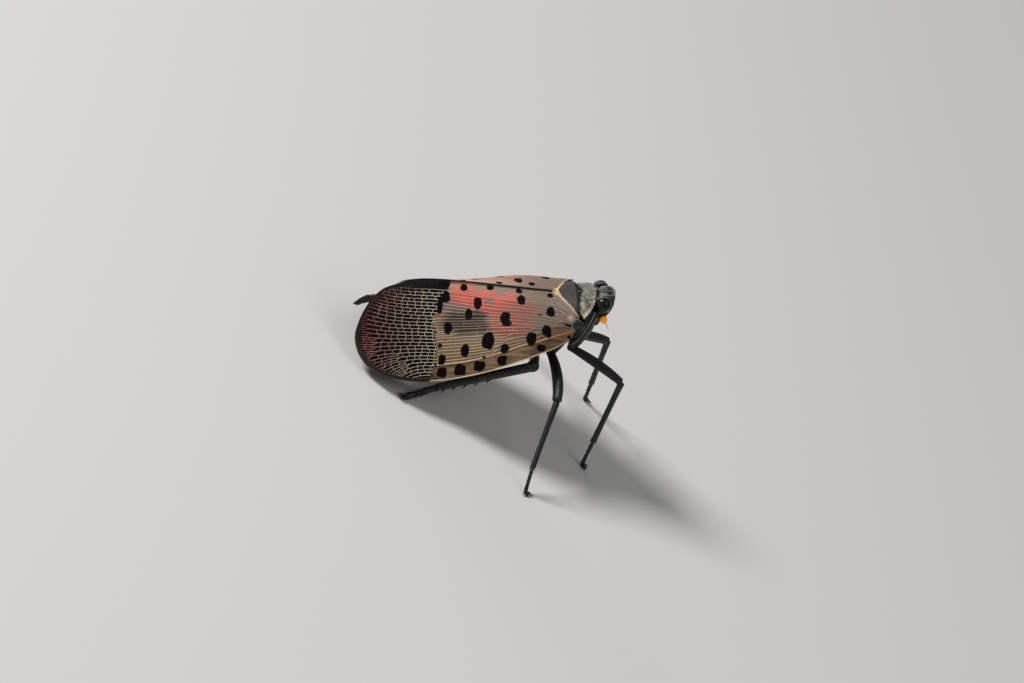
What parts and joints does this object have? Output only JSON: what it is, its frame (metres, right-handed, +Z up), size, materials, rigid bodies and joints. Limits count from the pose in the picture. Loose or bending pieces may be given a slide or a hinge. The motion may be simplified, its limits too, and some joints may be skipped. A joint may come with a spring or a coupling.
{
  "type": "spotted lanternfly",
  "caption": "Adult spotted lanternfly standing with its wings folded like a roof: a still, life-size model of the whole insect.",
  "frame": {"origin": "middle of the insect's box, on the floor under its feet", "axes": "+X towards the head, +Y to the insect's left, +Z up"},
  "size_m": [0.0291, 0.0266, 0.0165],
  "materials": {
    "shell_black": "black, finely wrinkled shell with a dull gloss",
    "eye": "black glossy compound eye",
    "antenna": "bright orange, finely pebbled",
    "collar": "rough grey-tan with dark rims",
    "shield": "smooth dark grey with tan edges",
    "forewing": "leathery grey-pink with black spots, black net-veined tip",
    "hindwing": "thin membrane, red with black spots, white band and black tip",
    "abdomen": "yellow with broad black bands",
    "leg": "black, ridged, with fine short hairs"
  },
  "bodies": {
    "root": {"head": "shell_black", "rostrum": "shell_black", "thorax": "shell_black", "eye_right": "eye", "eye_left": "eye", "antenna_right": "antenna", "antenna_left": "antenna", "pronotum": "collar", "mesonotum": "shield", "tegula_right": "shield", "tegula_left": "shield", "forewing_right": "forewing", "forewing_left": "forewing", "hindwing_right": "hindwing", "hindwing_left": "hindwing", "abdomen": "abdomen", "fore_right_coxa": "leg", "fore_right_femur": "leg", "fore_right_tibia": "leg", "fore_right_tarsus": "leg", "fore_left_coxa": "leg", "fore_left_femur": "leg", "fore_left_tibia": "leg", "fore_left_tarsus": "leg", "mid_right_coxa": "leg", "mid_right_femur": "leg", "mid_right_tibia": "leg", "mid_right_tarsus": "leg", "mid_left_coxa": "leg", "mid_left_femur": "leg", "mid_left_tibia": "leg", "mid_left_tarsus": "leg", "hind_right_coxa": "leg", "hind_right_femur": "leg", "hind_right_tibia": "leg", "hind_right_tarsus": "leg", "hind_left_coxa": "leg", "hind_left_femur": "leg", "hind_left_tibia": "leg", "hind_left_tarsus": "leg"}
  },
  "joints": []
}
